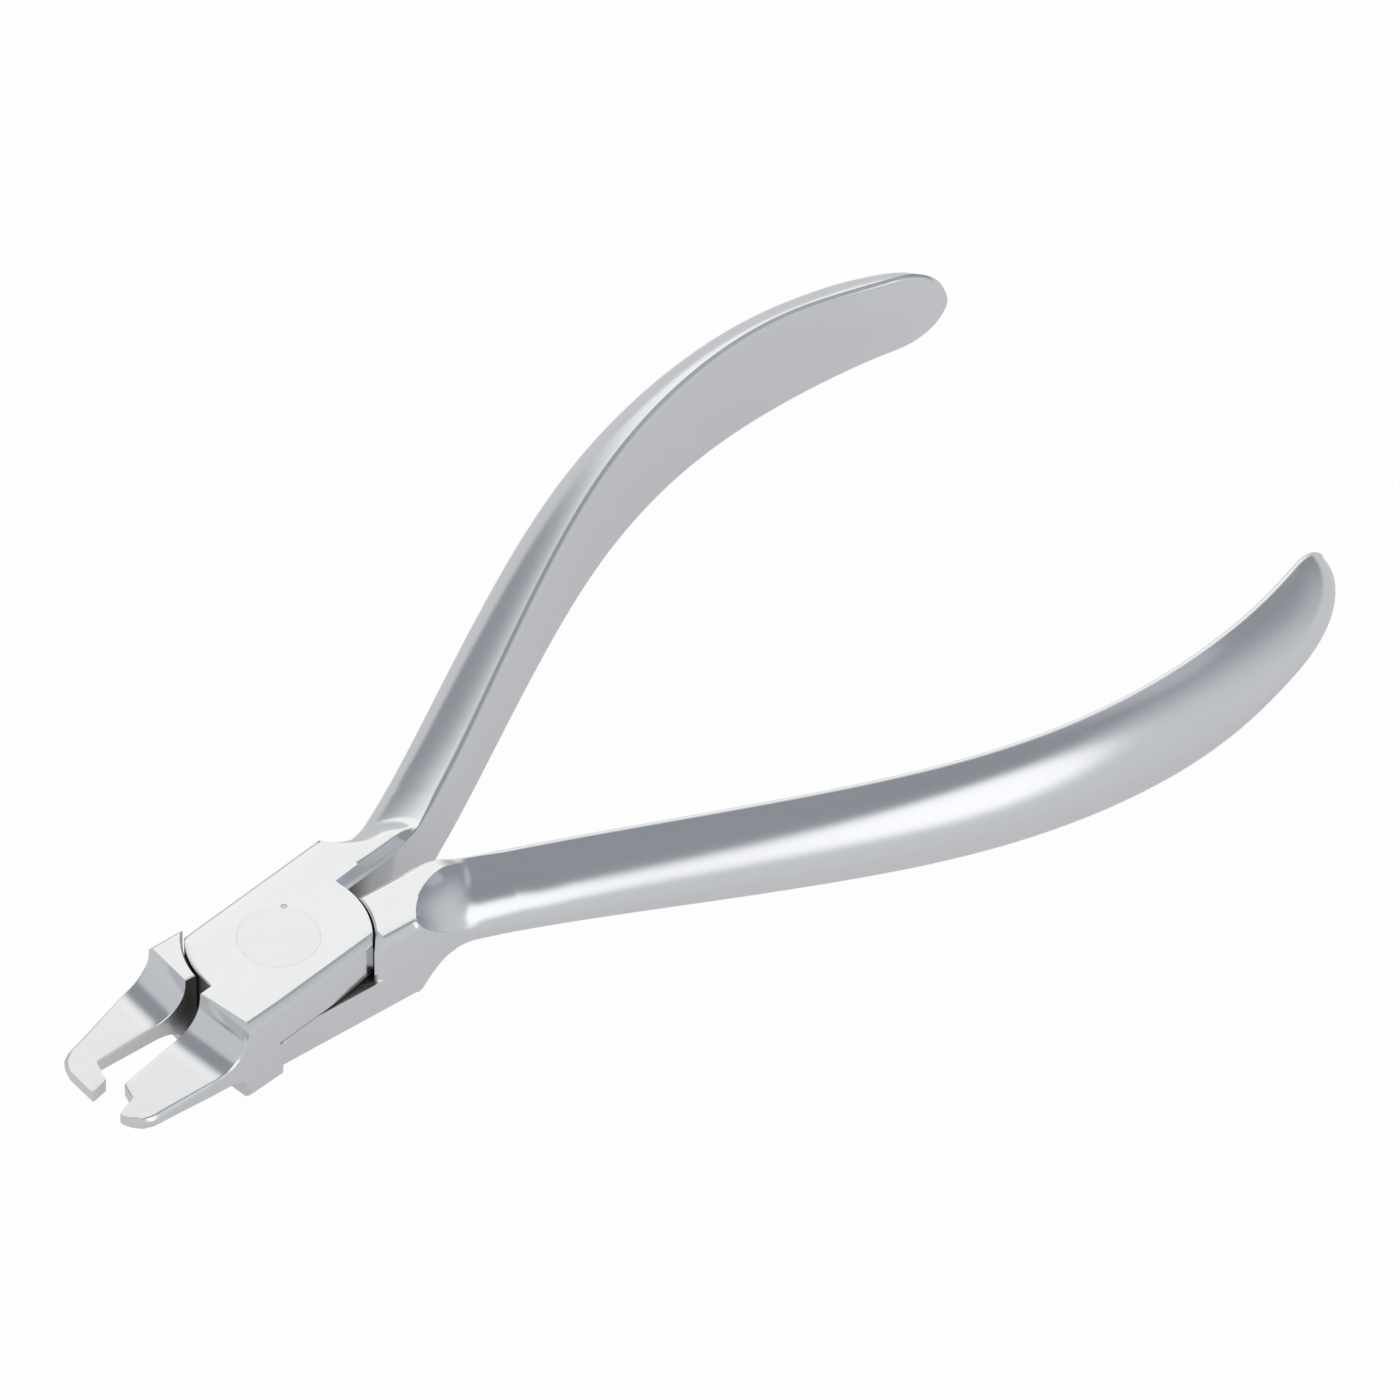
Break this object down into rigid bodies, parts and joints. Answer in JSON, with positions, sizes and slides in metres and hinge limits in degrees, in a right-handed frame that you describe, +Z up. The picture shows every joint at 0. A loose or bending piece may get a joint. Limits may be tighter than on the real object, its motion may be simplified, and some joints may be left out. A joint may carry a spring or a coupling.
{
  "type": "crown crimping pliers",
  "caption": "Slim stainless hand pliers with a flush-riveted half-lap joint, a hooked jaw that meets a notched jaw, and bowed D-section handles.",
  "frame": {"origin": "on the pivot axis, at the underside of the joint, which is the underside of the rivet", "axes": "+X along the handles, away from the jaws; +Y towards the handle of the upper half; +Z up along the pivot"},
  "size_m": [0.1347, 0.0712, 0.0122],
  "materials": {
    "satin_steel": "satin polished stainless steel",
    "rivet_steel": "ground flush with the joint face",
    "pin_steel": "small dark pin end"
  },
  "bodies": {
    "lower": {"lower_half": "satin_steel"},
    "upper": {"upper_half": "satin_steel", "pivot_rivet": "rivet_steel", "lock_pin": "pin_steel"}
  },
  "joints": [
    {"name": "pivot", "type": "hinge", "parent": "lower", "child": "upper", "pos_m": [0, 0, 0.00487], "axis": [0, 0, 1], "range_deg": [-8.3, 35]}
  ]
}
